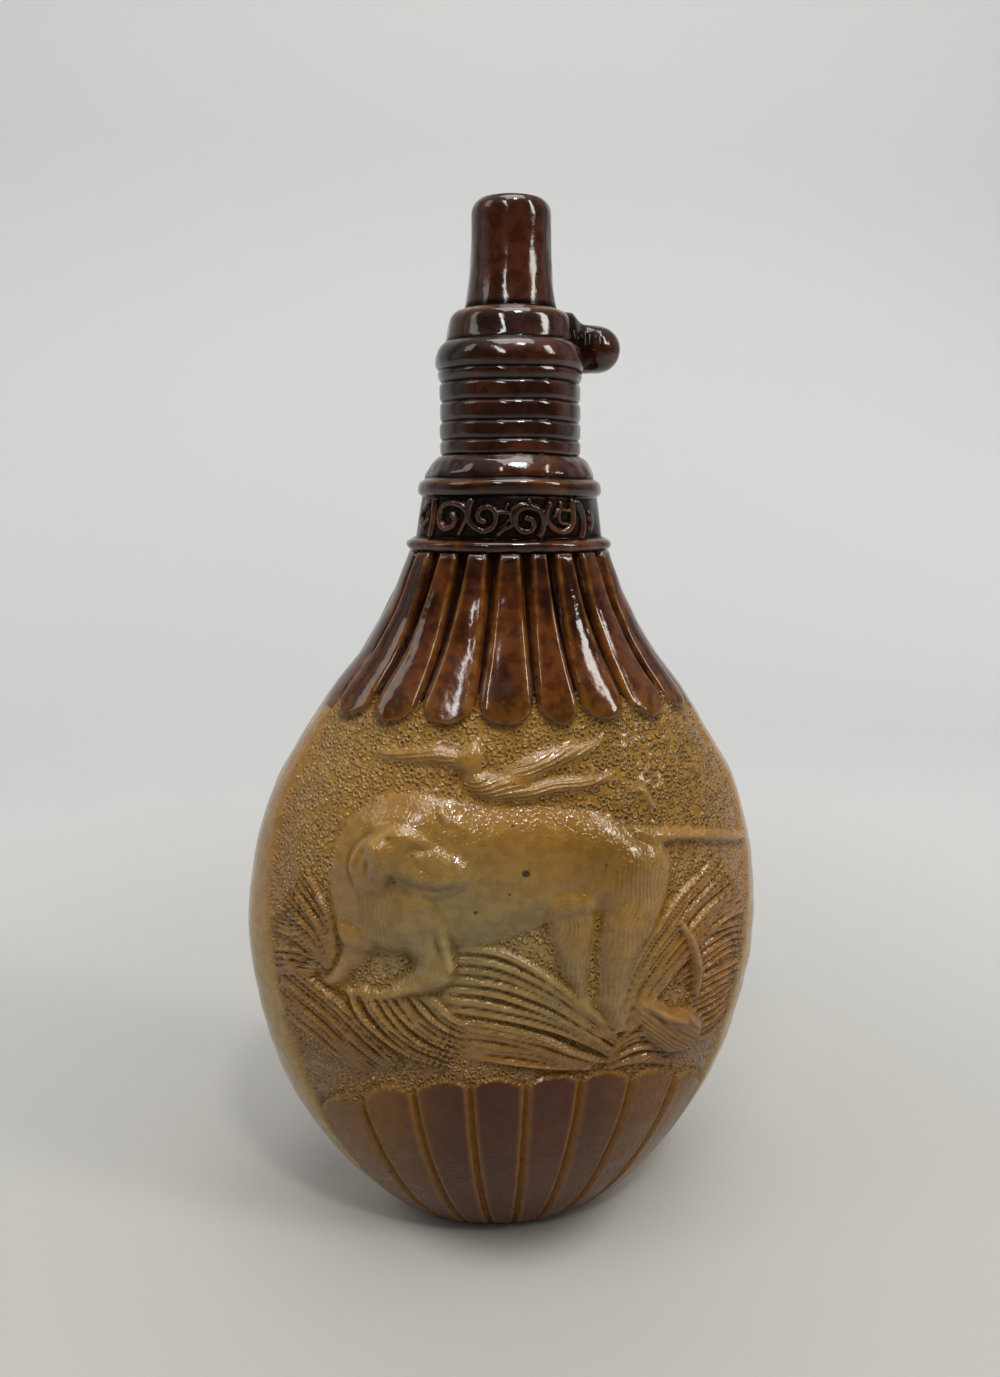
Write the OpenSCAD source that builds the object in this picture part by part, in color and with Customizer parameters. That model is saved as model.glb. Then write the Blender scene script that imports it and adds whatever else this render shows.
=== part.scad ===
// Spirit flask in the shape of a powder flask: one hollow piece of stoneware from a two-part
// mould, with a flattened body, a round neck and a thumb lug. It stands on the XY plane with
// its front towards -Y. Figures in relief are on the front; the back has the plain ground.

/* [Body] */
// Height of the body, from the foot to the bead ring
body_h = 151.5; // [147:0.5:156]
// Width of the body at its widest place
belly_w = 114; // [104:1:124]
// Depth of the body at its widest place, front to back
belly_d = 62; // [54:1:70]
// Height of the widest place above the foot
belly_z = 72; // [68:1:76]
// Width of the flat foot
foot_w = 38; // [32:1:44]
// Depth of the flat foot, front to back
foot_d = 24; // [20:1:28]
// Width of the body where it meets the bead ring
throat_w = 42; // [39:0.5:45]
// Depth of the body where it meets the bead ring
throat_d = 31; // [28:0.5:34]

/* [Wall] */
// Thickness of the wall round the body
wall = 5; // [3.5:0.25:6]
// Thickness of the floor over the foot
floor_t = 7; // [5:0.5:10]
// Diameter of the mouth's bore
mouth_d = 10; // [8:0.5:11]
// Length of the mouth's straight bore
mouth_l = 26; // [18:1:30]
// Diameter of the passage under the mouth, through the ringed barrel
passage_d = 19; // [16:0.5:20]

/* [Petals and flutes] */
// Petals, and flutes below them, on each face
panels = 8; // [6:1:10]
// Height of the petals' lower tips above the foot
petal_z = 119; // [114:1:124]
// How far the petals stand out from the side strips
petal_out = 0.9; // [0.4:0.1:1.4]
// Angle each way from the middle of a face that the petals cover
petal_reach = 71; // [66:1:76]
// Height of the flutes' top line at the middle of a face
flute_z = 47; // [43:1:50]
// How far the flutes' top line falls from there to the side of the body
flute_fall = 19; // [12:1:24]
// How far the flutes stand out from the side strips
flute_out = 0.3; // [0:0.1:1]
// Part of the half width of a face that the flutes cover
flute_reach = 0.86; // [0.8:0.01:0.9]
// How far the field between petals and flutes is sunk below the side strips
field_in = 0.8; // [0.4:0.1:1.2]

/* [Neck] */
// Width of the bead ring
bead_w = 43.4; // [42:0.2:46]
// Height of the bead ring
bead_h = 2.6; // [2:0.2:3.4]
// Height of the scroll band between the bead ring and the roll ring
scroll_h = 8.6; // [7.6:0.2:9.6]
// How far the scrolls stand out from their band
scroll_out = 0.9; // [0.5:0.1:1.3]
// Width of the roll ring
roll_w = 38.4; // [37.6:0.2:40]
// Height of the roll ring
roll_h = 3.4; // [2.8:0.2:4]
// Height of the flared band over the roll ring
flare_h = 4.6; // [3.6:0.2:5.6]
// Diameter of the ringed barrel
barrel_d = 28.8; // [27.4:0.2:30]
// Height of the ringed barrel
barrel_h = 15.2; // [13:0.2:17]
// Ridges round the barrel
ridges = 4; // [3:1:6]
// Depth of the grooves between the ridges
ridge_in = 0.55; // [0.3:0.05:0.8]
// Diameter of the round swelling over the barrel
swell_d = 31; // [30.4:0.2:33]
// Height of the swelling
swell_h = 7.2; // [6.4:0.2:8]
// Diameter of the collar at its foot
collar_d = 26.4; // [25.6:0.2:28]
// Height of the collar
collar_h = 6.6; // [5.6:0.2:7.6]
// Diameter of the nozzle where it leaves the collar
nozzle_d = 18.8; // [18:0.2:20]
// Diameter of the nozzle under its rim
rim_d = 16; // [15:0.2:17]
// Height of the nozzle
nozzle_h = 20.3; // [17:0.1:24]
// Radius of the nozzle's rim
rim_r = 1.8; // [1:0.1:1.9]

/* [Lug] */
// Distance from the neck's axis to the tip of the thumb lug
lug_reach = 22.7; // [20:0.1:25]
// Thickness of the lug at its root
lug_root = 10.2; // [8:0.2:11]
// Thickness of the lug at its tip
lug_tip = 8.6; // [7:0.2:9.4]
// Angle by which the lug droops
lug_droop = 9; // [0:1:15]

/* [Hidden] */
$fn = 96;

// Rows of facets in the petals, as parts of the way from tip to throat
petal_rows = [0, 0.05, 0.16, 0.36, 0.6, 0.85, 1];
// Rows in the flutes, as parts of the way from the foot to their top
flute_rows = [0, 0.01, 0.035, 0.09, 0.2, 0.38, 0.6, 0.82, 1];
// Rows in the field between
field_rows = 7;
// Columns across one panel, and how high each stands between groove and crown
panel_cols = [[0, 0], [0.14, 0.76], [0.5, 1], [0.86, 0.76]];
// Columns across a side strip
strip_cols = [0.08, 0.29, 0.5, 0.71, 0.92];
// How the body narrows from the belly to the throat, in even steps of height
width_fall = [0, 0.03, 0.087, 0.182, 0.341, 0.517, 0.731, 0.887, 1];
depth_fall = [0, 0.02, 0.07, 0.15, 0.3, 0.48, 0.7, 0.88, 1];
// Half height of the steps at the ends of petals and flutes
step = 0.45;
// Depth to which relief is rooted in the wall
root = 2.2;

// Heights of the neck's parts, from the bead ring up
z_scroll = body_h + bead_h;
z_roll = z_scroll + scroll_h;
z_flare = z_roll + roll_h;
z_barrel = z_flare + flare_h;
z_swell = z_barrel + barrel_h;
z_collar = z_swell + swell_h;
z_nozzle = z_collar + collar_h;
z_top = z_nozzle + nozzle_h;

function mix(a, b, t) = a + (b - a) * t;
function ease(t) = let (s = min(max(t, 0), 1)) s * s * (3 - 2 * s);

// Smooth curve through evenly spaced values, for t from 0 to 1
function slope(v, i) =
    let (lo = max(i - 1, 0), hi = min(i + 1, len(v) - 1)) (v[hi] - v[lo]) / (hi - lo);
function along(v, t) =
    let (n = len(v) - 1, s = min(max(t, 0), 1) * n, i = min(floor(s), n - 1), f = s - i)
    let (g = f * f * (3 - 2 * f))
    mix(v[i], v[i + 1], g) + slope(v, i) * f * (1 - f) * (1 - f)
        - slope(v, i + 1) * f * f * (1 - f);

// Half width and half depth of the body at a height
function bowl(z, p, q) = 1 - pow(max(0, 1 - pow(1 - max(z, 0) / belly_z, p)), 1 / q);
function rise(z) = (z - belly_z) / (body_h - belly_z);
function half_w(z) = z < belly_z
    ? mix(belly_w, foot_w, bowl(z, 2.1, 1.37)) / 2
    : mix(belly_w, throat_w, along(width_fall, rise(z))) / 2;
function half_d(z) = z < belly_z
    ? mix(belly_d, foot_d, bowl(z, 2.4, 1.3)) / 2
    : mix(belly_d, throat_d, along(depth_fall, rise(z))) / 2;

// Point of an oval at an angle from the front, moved outwards
function oval(w, d, a, out) =
    let (n = [d * sin(a), -w * cos(a)]) [w * sin(a), -d * cos(a)] + out * n / norm(n);
function skin(a, z, out) = let (p = oval(half_w(z), half_d(z), a, out)) [p[0], p[1], z];
// Point of the front face over a place x, z of its drawing
function face(x, z, out) = skin(asin(min(max(x / half_w(z), -1), 1)), z, out);

// Closed skin from rings of equally many points, each ring above the last
module loft(rings) {
    n = len(rings[0]);
    last = len(rings) - 1;
    polyhedron(
        points = [for (r = rings) each r],
        faces = [
            [for (i = [0 : n - 1]) i],
            [for (i = [n - 1 : -1 : 0]) last * n + i],
            for (k = [0 : last - 1], i = [0 : n - 1]) let (j = (i + 1) % n)
                each [
                    [k * n + i, (k + 1) * n + i, (k + 1) * n + j],
                    [k * n + i, (k + 1) * n + j, k * n + j]
                ]
        ],
        convexity = 10);
}

// A column: angle at the petals, angle at the flutes, height on the panel from groove to
// crown, place across the panel from 0 at its middle to 1, and whether it is on a face
function petal_a(i) = petal_reach * (2 * i / panels - 1);
function flute_a(i) = asin(flute_reach * (2 * i / panels - 1));
face_cols = [
    for (i = [0 : panels - 1], c = panel_cols)
        [petal_a(i + c[0]), flute_a(i + c[0]), c[1], abs(2 * c[0] - 1), 1],
    [petal_a(panels), flute_a(panels), 0, 1, 1]
];
side_cols = [
    for (t = strip_cols)
        [mix(petal_a(panels), 180 - petal_a(panels), t),
            mix(flute_a(panels), 180 - flute_a(panels), t), 1, 0, 0]
];
function turned(cols) = [for (c = cols) [c[0] + 180, c[1] + 180, c[2], c[3], c[4]]];
columns = concat(face_cols, side_cols, turned(face_cols), turned(side_cols));

// Heights at which the field ends, under the petals and over the flutes
petal_half = petal_reach / panels * 3.14159 / 180 * half_w(petal_z);
function petal_edge(c) = petal_z + petal_half * (1 - sqrt(1 - pow(c[3], 2))) * c[4];
function flute_edge(c) =
    flute_z - flute_fall * pow(abs(sin(c[1])), 3) - 0.05 * flute_z * pow(c[3], 2) * c[4];

// Rows of a column from the foot up, each as height, outward move and how petal-like it is
function body_column(c) =
    let (top = petal_edge(c), low = flute_edge(c), ground = -field_in * c[4])
    [
        for (t = flute_rows)
            [mix(0, low - step, t), mix(ground, flute_out * c[4], c[2]), 0],
        for (k = [0 : field_rows])
            [mix(low + step, top - step, k / field_rows), ground, k / field_rows],
        for (t = petal_rows)
            [mix(top + step, body_h, t), mix(ground, petal_out * c[4], c[2]) * mix(1, 0.6, t), 1]
    ];
module body() {
    table = [for (c = columns) body_column(c)];
    loft([
        for (k = [0 : len(table[0]) - 1])
            [for (i = [0 : len(columns) - 1]) let (r = table[i][k], c = columns[i])
                skin(mix(c[1], c[0], ease(r[2])), r[0], r[1])]
    ]);
}

// Neck bands over the body, oval below and round at the barrel: half width and height
neck_cols = 40;
function arc_band(w0, w1, out, z0, z1, n) =
    [for (i = [0 : n]) [mix(w0, w1, i / n) + out * sin(180 * i / n), mix(z0, z1, i / n)]];
flare_w = barrel_d / 2 + 1;
bands = [
    each arc_band(throat_w / 2 - field_in, throat_w / 2 - field_in,
        (bead_w - throat_w) / 2 + field_in, body_h, z_scroll, 3),
    [throat_w / 2 - field_in - 0.5, z_scroll + 0.5],
    [mix(throat_w, roll_w, 0.5) / 2 - scroll_out - 0.2, mix(z_scroll, z_roll, 0.5)],
    [roll_w / 2 - scroll_out, z_roll - 0.4],
    each arc_band(roll_w / 2 - 0.7, roll_w / 2 - 1.2, 0.9, z_roll, z_flare, 4),
    [roll_w / 2 - 1.7, z_flare + 0.4],
    [mix(roll_w / 2 - 1.7, flare_w, 0.5) - 0.1, mix(z_flare, z_barrel, 0.5)],
    [flare_w, z_barrel - 0.4],
    [flare_w - 0.4, z_barrel]
];
// The neck's depth grows from the throat's share of its width to the full round
function neck_share(z) = mix(throat_d / throat_w, 1, ease((z - body_h) / (z_barrel - 1 - body_h)));
module neck_bands() {
    loft([
        for (b = bands)
            [for (i = [0 : neck_cols - 1])
                let (p = oval(b[0], b[0] * neck_share(b[1]), 360 * i / neck_cols, 0))
                    [p[0], p[1], b[1]]]
    ]);
}

// Barrel, swelling, collar and nozzle, turned about the axis
function bulge(r, out, z0, z1, n) =
    [for (i = [0 : n]) [r + out * sin(180 * i / n), mix(z0, z1, i / n)]];
barrel_groove = barrel_d / 2 - ridge_in;
ridge_h = barrel_h / ridges;
turned_outline = [
    [0, z_barrel - 1.5],
    [barrel_groove, z_barrel - 1.5],
    for (k = [0 : ridges - 1])
        each bulge(barrel_groove, ridge_in, z_barrel + k * ridge_h, z_barrel + (k + 1) * ridge_h, 6),
    for (i = [1 : 7]) let (t = i / 8)
        [mix(barrel_groove, collar_d / 2, t) + (swell_d / 2 - mix(barrel_groove, collar_d / 2, 0.5))
            * pow(sin(180 * t), 0.8), z_swell + swell_h * t],
    for (i = [0 : 6]) let (a = 15 * i)
        [mix(nozzle_d / 2 + 0.7, collar_d / 2, cos(a)), z_collar + (collar_h - 0.8) * sin(a)],
    for (i = [0 : 5]) let (t = i / 5)
        [mix(nozzle_d, rim_d, 1 - pow(1 - t, 2.4)) / 2,
            mix(z_nozzle - 0.4, z_top - rim_r * 1.5, t)],
    for (i = [1 : 6]) let (a = 15 * i)
        [rim_d / 2 - rim_r * (1 - cos(a)), z_top - rim_r * 1.5 * (1 - sin(a))],
    [0, z_top]
];
module turned_neck() {
    rotate_extrude() polygon(turned_outline);
}

module lug() {
    tip = lug_tip / 2;
    run = lug_reach - tip;
    translate([0, 0, z_collar - 0.2])
        rotate([0, 90 + lug_droop, 0]) {
            cylinder(h = run / cos(lug_droop), d1 = lug_root + 0.8, d2 = lug_tip);
            translate([0, 0, run / cos(lug_droop)]) sphere(r = tip);
        }
}

// Relief. A stroke is drawn through places [x, z, half width, height] of the front face, and
// stands on the sunk field. Its section is given across, as part of the half width, and up, as
// part of the height, with the points marked -1 rooted in the wall
dome = [[-1, -1], [-0.82, 0.6], [-0.36, 0.95], [0.36, 0.95], [0.82, 0.6], [1, -1]];
ridge = [[-1.2, -1], [0, 1], [1.2, -1]];
function rooted(up, high, deep) = (up < 0 ? -deep : up * high) - field_in;
function heading(v, i) =
    let (d = v[min(i + 1, len(v) - 1)] - v[max(i - 1, 0)], p = [d[0], d[1]]) p / norm(p);
// Adds a narrow ring beyond each end, so that the stroke ends round
function beyond(q, way) = [q[0] + way[0] * q[2] * 0.8, q[1] + way[1] * q[2] * 0.8, q[2] * 0.45,
    q[3] * 0.4];
function round_ends(v) =
    let (n = len(v) - 1)
    [beyond(v[0], -heading(v, 0)), each v, beyond(v[n], heading(v, n))];
module drawn(v, shape, deep) {
    loft([
        for (i = [0 : len(v) - 1]) let (t = heading(v, i))
            [for (s = shape)
                face(v[i][0] + t[1] * s[0] * v[i][2], v[i][1] - t[0] * s[0] * v[i][2],
                    rooted(s[1], v[i][3], deep))]
    ]);
}
module stroke(places) {
    drawn(round_ends(places), dome, root);
}
// A blade of grass from its root over a bend to its tip
module blade(from, bend, to, half, high) {
    n = 4;
    drawn([
        for (i = [0 : n]) let (t = i / n, p = from * pow(1 - t, 2) + bend * 2 * t * (1 - t)
            + to * t * t)
            [p[0], p[1], half * mix(1, 0.35, t * t), high * mix(1, 0.4, t * t)]
    ], ridge, 0.5);
}

// A dog that stands and looks back over its shoulder
module dog() {
    // Trunk from chest to rump
    stroke([[-34, 90, 10, 2.2], [-26, 91.5, 13.4, 3], [-14, 90.5, 14.2, 3.4],
        [0, 90.3, 12.8, 3.2], [12, 91.6, 9.8, 2.9], [21, 91, 8.4, 2.9], [26, 88.8, 6, 2.4]]);
    // Neck and chest
    stroke([[-18, 102, 4.4, 3.2], [-26, 102, 5.2, 3.6], [-32, 97.5, 5.4, 3.6],
        [-35, 90, 5, 3.2], [-36, 82, 4, 2.6]]);
    // Far foreleg
    stroke([[-36.8, 84, 3.4, 2.2], [-36.6, 78, 2.6, 2], [-36.2, 73.5, 2.4, 2],
        [-38.4, 69.5, 2.4, 1.8], [-40.4, 66.8, 2, 1.4]]);
    // Near foreleg: upper arm, then forearm and paw
    stroke([[-22, 85, 5, 2.6], [-20, 79, 5, 3.2], [-18.6, 74, 4.4, 3.2], [-17.8, 71.6, 3.6, 3]]);
    stroke([[-17.4, 71, 3.2, 3], [-22.5, 68.5, 2.8, 2.8], [-28, 65.8, 2.4, 2.4],
        [-30.6, 64.6, 2, 1.6]]);
    // Far hind leg
    stroke([[8.4, 84, 5, 2.6], [8.6, 78, 4.2, 2.2], [9.4, 71, 3.1, 2.1], [10.7, 64.2, 2.3, 1.6],
        [11.6, 60.4, 1.8, 1.2]]);
    // Near hind leg
    stroke([[23.6, 88, 5.4, 3], [24, 80.5, 4.6, 2.8], [21.8, 73.5, 3.4, 2.6],
        [19.2, 66.5, 2.6, 2.2], [17.4, 59, 2.4, 1.8], [16.8, 55.5, 2, 1.2]]);
    // Tail
    stroke([[26, 96.4, 1.6, 2], [33, 95.6, 1.3, 1.6], [41, 93.2, 1.1, 1.3], [49, 90.2, 0.8, 1]]);
    // Head and muzzle
    stroke([[-26.5, 94.6, 4.6, 4.6], [-21.8, 94, 4.4, 5.2], [-17, 92.4, 3.4, 5],
        [-12.8, 91.4, 2.4, 4.6]]);
    // Ear
    stroke([[-26.4, 97.6, 2.4, 5], [-29.8, 95, 3, 5.2], [-31, 91, 2.8, 5], [-29.8, 88.2, 2, 4.4]]);
}

// A game bird that flies over the dog's back
module bird() {
    stroke([[-11.6, 113.2, 1.4, 1.8], [-9.4, 110.6, 2, 2.4], [-4, 107.8, 2.6, 2.6],
        [3, 106.9, 2.2, 2.4], [10, 107.4, 1.6, 1.8], [17.6, 107.6, 1.2, 1.2]]);
    stroke([[-6, 109.4, 1.6, 2.2], [2, 111.8, 1.9, 1.9], [9, 113.4, 1.7, 1.6],
        [14.6, 114.2, 1.2, 1.1]]);
    stroke([[-11, 110.6, 1.4, 2], [-15.6, 112.4, 1.6, 1.7], [-20.4, 112.6, 1.4, 1.4],
        [-24.4, 111.9, 1, 1]]);
}

// Grass and a tussock round the dog's feet
module grass() {
    // Fan at the left
    for (b = [[-46.5, 76, -50, 80.8], [-45, 78.4, -46.8, 83.6], [-43, 79, -43.8, 85],
            [-40.8, 77, -40.8, 83]])
        blade([-40.4, 69.6], [b[0], b[1]], [b[2], b[3]], 1, 1.6);
    // Long blades low at the left
    for (k = [0 : 3])
        blade([-50.6 + 0.4 * k, 66 - 4.4 * k], [-40 - 0.8 * k, 63 - 5 * k],
            [-25 - 5.6 * k, 50.4 - k], 1.2, 1.6);
    // Clump from the paw
    for (k = [0 : 3])
        blade([-34 + 3 * k, 63.8 + 0.6 * k], [-30 + 3.4 * k, 54.8 + 1.8 * k],
            [-15.6 + 1.2 * k, 48.8 + 2.4 * k], 1.2, 1.9);
    // Broad blades under the belly
    for (k = [0 : 4])
        blade([-14 + 0.4 * k, 74 - 4.2 * k], [0.5 - 0.2 * k, 74.8 - 4.7 * k],
            [19.6 - 2 * k, 55.2 - 2 * k], 1.5, 2.3);
    // Clump at the right
    for (k = [0 : 6])
        blade([20.4 + 2.2 * k, 55 + k], [22.4 + 3.7 * k, 71.6 - 1.8 * k],
            [40.6 + 2 * min(k, 4), 84.6 - 4.5 * k], 1.1, 1.9);
    blade([33, 70.4], [36.4, 64], [37.6, 55], 1.2, 2);
    // Tussock
    stroke([[25.6, 58.6, 3, 2], [30.6, 54, 4.4, 2.6], [35.4, 48.6, 4.4, 2.4], [38.2, 45, 3, 1.6]]);
}

// Scrolls round the neck, alternately rising and hanging, on one face
module scrolls() {
    n = 6;
    turns = 9;
    mid = mix(z_scroll, z_roll, 0.5);
    half = scroll_h / 2 - 0.6;
    span = 126;
    for (k = [0 : n - 1]) {
        up = k % 2 == 0 ? 1 : -1;
        scroll([
            for (i = [0 : turns])
                let (t = i / turns, r = half * mix(1, 0.2, t), g = -150 + 450 * t)
                    [span * ((k + 0.5) / n - 0.5) * throat_w / 2 * 3.14159 / 180 + r * cos(g),
                        mid + up * r * sin(g)]
        ]);
    }
}
module scroll(path) {
    loft([
        for (i = [0 : len(path) - 1])
            let (a = path[max(i - 1, 0)], b = path[min(i + 1, len(path) - 1)],
                t = (b - a) / norm(b - a))
            [for (s = [[-1, -0.5], [0, scroll_out], [1, -0.5]])
                band_point(path[i][0] + t[1] * s[0], path[i][1] - t[0] * s[0], s[1])]
    ]);
}
// Point of the scroll band a way round from the front, at a height
function band_point(way, z, out) =
    let (w = mix(throat_w, roll_w, (z - z_scroll) / scroll_h) / 2 - scroll_out - 0.2)
    let (p = oval(w, w * neck_share(z), way / (throat_w / 2) * 180 / 3.14159, out)) [p[0], p[1], z];

// Inside of the flask, up to the round passage
module hollow() {
    n = 24;
    rows = 9;
    loft([
        for (k = [0 : rows]) let (z = mix(floor_t, body_h, pow(k / rows, 1.3)))
            [for (i = [0 : n - 1]) skin(360 * i / n, z, -wall)],
        for (t = [0.5, 1]) let (z = mix(body_h, z_barrel + 1, t))
            [for (i = [0 : n - 1])
                let (p = oval(mix(throat_w / 2 - wall, passage_d / 2 - 0.6, t),
                    mix(throat_d / 2 - wall, passage_d / 2 - 0.6, t), 360 * i / n, 0))
                    [p[0], p[1], z]]
    ]);
}
module passage() {
    z_mouth = z_top - mouth_l;
    z_neck = z_mouth - (passage_d - mouth_d) / 2;
    rotate_extrude() polygon([
        [0, z_barrel - 3], [passage_d / 2, z_barrel - 3], [passage_d / 2, z_neck],
        [mouth_d / 2, z_mouth], [mouth_d / 2, z_top + 1], [0, z_top + 1]
    ]);
}

// Body and neck bands with all their relief, hollow inside, as one skin of facets
module moulded() {
    resize([0, 0, 0]) difference() {
        union() {
            body();
            neck_bands();
            dog();
            bird();
            grass();
            scrolls();
            rotate([0, 0, 180]) scrolls();
        }
        hollow();
    }
}

module flask() {
    color("peru") difference() {
        union() {
            moulded();
            turned_neck();
            lug();
        }
        passage();
    }
}

flask();
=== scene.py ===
# Stoneware spirit flask in the shape of a powder flask: one moulded piece with a dog in relief,
# a dark glossy glaze over neck and petals, and a tan salt glaze over the body.
import math

import bpy
import numpy as np
from mathutils import Matrix, Vector


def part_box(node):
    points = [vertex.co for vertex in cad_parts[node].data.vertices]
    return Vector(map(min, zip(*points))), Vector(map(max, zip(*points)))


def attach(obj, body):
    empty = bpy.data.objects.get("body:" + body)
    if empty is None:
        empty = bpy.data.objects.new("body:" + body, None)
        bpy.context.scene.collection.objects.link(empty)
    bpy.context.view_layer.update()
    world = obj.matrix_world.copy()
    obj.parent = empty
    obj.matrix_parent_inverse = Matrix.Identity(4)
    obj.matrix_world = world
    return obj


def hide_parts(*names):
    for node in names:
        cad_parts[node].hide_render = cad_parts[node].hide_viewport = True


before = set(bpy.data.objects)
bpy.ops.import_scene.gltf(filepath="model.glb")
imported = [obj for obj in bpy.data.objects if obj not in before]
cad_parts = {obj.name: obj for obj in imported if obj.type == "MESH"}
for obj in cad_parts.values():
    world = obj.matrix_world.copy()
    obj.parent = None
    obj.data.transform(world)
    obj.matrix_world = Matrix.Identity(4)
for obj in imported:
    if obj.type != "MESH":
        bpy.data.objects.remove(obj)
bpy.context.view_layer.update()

MM = 0.001
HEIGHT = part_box("flask")[1][2] / MM
FAR = 1e9

# Body, in millimetres
BODY_H = 151.5
BELLY_W, BELLY_D, BELLY_Z = 114.0, 62.0, 72.0
FOOT_W, FOOT_D = 38.0, 24.0
THROAT_W, THROAT_D = 42.0, 31.0
WIDTH_FALL = (0, 0.03, 0.087, 0.182, 0.341, 0.517, 0.731, 0.887, 1)
DEPTH_FALL = (0, 0.02, 0.07, 0.15, 0.3, 0.48, 0.7, 0.88, 1)
WALL, FLOOR_T = 5.0, 7.0

# Petals, field and flutes
PANELS = 8
PETAL_Z, PETAL_OUT, PETAL_REACH = 119.0, 0.9, 71.0
FLUTE_Z, FLUTE_FALL, FLUTE_OUT, FLUTE_REACH = 47.0, 19.0, 0.3, 0.86
FIELD_IN = 0.8
RELIEF_UP = 0.6
PEBBLE_PITCH, FUR_PITCH = 1.9, 0.95
# Regular edges of the front's petals in degrees, and how far each one is off
PETAL_DRIFT = ((-71, 0), (-52, 3), (-33, 3.4), (-14, 3.4), (4, 3.2), (18, -1), (34, -2), (52, -1), (71, 0))

# Neck, from the bead ring up
BEAD_W, SCROLL_OUT, ROLL_W, BARREL_D, RIDGE_IN = 43.4, 0.9, 38.4, 28.8, 0.55
SWELL_D, COLLAR_D, NOZZLE_D, RIM_D, RIM_R = 31.0, 26.4, 18.8, 16.0, 1.8
Z_SCROLL = BODY_H + 2.6
Z_ROLL = Z_SCROLL + 8.6
Z_FLARE = Z_ROLL + 3.4
Z_BARREL = Z_FLARE + 4.6
Z_SWELL = Z_BARREL + 15.2
Z_COLLAR = Z_SWELL + 7.2
Z_NOZZLE = Z_COLLAR + 6.6
RIDGE_ENDS = (170.7, 173.8, 177.4, 181.3, 185.1)
MOUTH_R, MOUTH_L, PASSAGE_R = 5.0, 26.0, 9.5
LUG_REACH, LUG_ROOT, LUG_TIP, LUG_DROOP = 22.7, 11.2, 9.4, 2.0


# Smooth helpers


def mix(a, b, t):
    """From a where t is 0 to b where it is 1."""
    return a + (b - a) * t


def smooth(t):
    """From 0 to 1 with a soft start and end, and level beyond them."""
    s = np.clip(t, 0, 1)
    return s * s * (3 - 2 * s)


def greater(a, b, melt):
    """The greater of two values, with the corner between them rounded."""
    return np.maximum(np.maximum(a, b), 0.5 * (a + b + np.sqrt((a - b) ** 2 + melt * melt)) - melt / 4)


def along(values, t):
    """Smooth curve through evenly spaced values, for t from 0 to 1."""
    v = np.asarray(values, float)
    n = len(v) - 1
    slopes = np.gradient(v)
    s = np.clip(t, 0, 1) * n
    i = np.minimum(s.astype(int), n - 1)
    f = s - i
    g = f * f * (3 - 2 * f)
    return mix(v[i], v[i + 1], g) + slopes[i] * f * (1 - f) ** 2 - slopes[i + 1] * f * f * (1 - f)


def wobble(seed, size, *coords):
    """Smooth random values between about -1 and 1, over places size apart."""
    rng = np.random.default_rng(seed)
    total = 0
    waves, swing = 7, 1.8
    for _ in range(waves):
        way = rng.normal(size=len(coords))
        way *= rng.uniform(0.6, 1.4) * 2 * math.pi / size / np.linalg.norm(way)
        turn = rng.uniform(0, 2 * math.pi)
        total = total + np.sin(sum(w * c for w, c in zip(way, coords)) + turn)
    return total / waves * swing


def grains(x, z, pitch, seed):
    """Distance to the nearest of many scattered points about pitch apart, in pitches."""
    many = 256
    table = np.random.default_rng(seed).uniform(0.1, 0.9, (2, many, many))
    cx, cz = np.floor(x / pitch).astype(int), np.floor(z / pitch).astype(int)
    best = np.full(np.shape(x), FAR)
    for i in (-1, 0, 1):
        for j in (-1, 0, 1):
            cell = (cx + i) % many, (cz + j) % many
            gx = (cx + i) + table[0][cell] - x / pitch
            gz = (cz + j) + table[1][cell] - z / pitch
            best = np.minimum(best, np.hypot(gx, gz))
    return best


def melted(grid, times):
    """A grid of heights with its sharp steps softened. Its columns run round the body."""
    for _ in range(times):
        grid = (np.roll(grid, 1, 1) + np.roll(grid, -1, 1) + 2 * grid) / 4
        up, down = np.vstack([grid[1:], grid[-1:]]), np.vstack([grid[:1], grid[:-1]])
        grid = (up + down + 2 * grid) / 4
    return grid


# Form of the body


def half_extent(z, belly, foot, throat, fall, p, q):
    """Half width or depth of the body, which draws in from its belly to the throat and the foot."""
    above = mix(belly, throat, along(fall, (z - BELLY_Z) / (BODY_H - BELLY_Z)))
    drawn_in = 1 - np.maximum(0, 1 - (1 - np.clip(z, 0, BELLY_Z) / BELLY_Z) ** p) ** (1 / q)
    return np.where(z < BELLY_Z, mix(belly, foot, drawn_in), above) / 2


def half_w(z):
    return half_extent(z, BELLY_W, FOOT_W, THROAT_W, WIDTH_FALL, 2.1, 1.37)


def half_d(z):
    return half_extent(z, BELLY_D, FOOT_D, THROAT_D, DEPTH_FALL, 2.4, 1.3)


def oval(w, d, a, out):
    """Point of an oval at an angle in radians from the front, moved outwards."""
    nx, ny = d * np.sin(a), -w * np.cos(a)
    length = np.hypot(nx, ny)
    return w * np.sin(a) + out * nx / length, -d * np.cos(a) + out * ny / length


# Relief of the front, in strokes


def curve_through(places, pieces=6):
    """Catmull-Rom curve through places of any dimension."""
    p = np.asarray(places, float)
    if len(p) < 3:
        t = np.linspace(0, 1, pieces + 1)[:, None]
        return p[0] + (p[-1] - p[0]) * t
    q = np.vstack([2 * p[0] - p[1], p, 2 * p[-1] - p[-2]])
    out = []
    for a, b, c, d in zip(q, q[1:], q[2:], q[3:]):
        for t in np.arange(pieces) / pieces:
            out.append(0.5 * (2 * b + (c - a) * t + (2 * a - 5 * b + 4 * c - d) * t * t
                              + (3 * b - a - 3 * c + d) * t**3))
    out.append(p[-1])
    return np.array(out)


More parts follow.
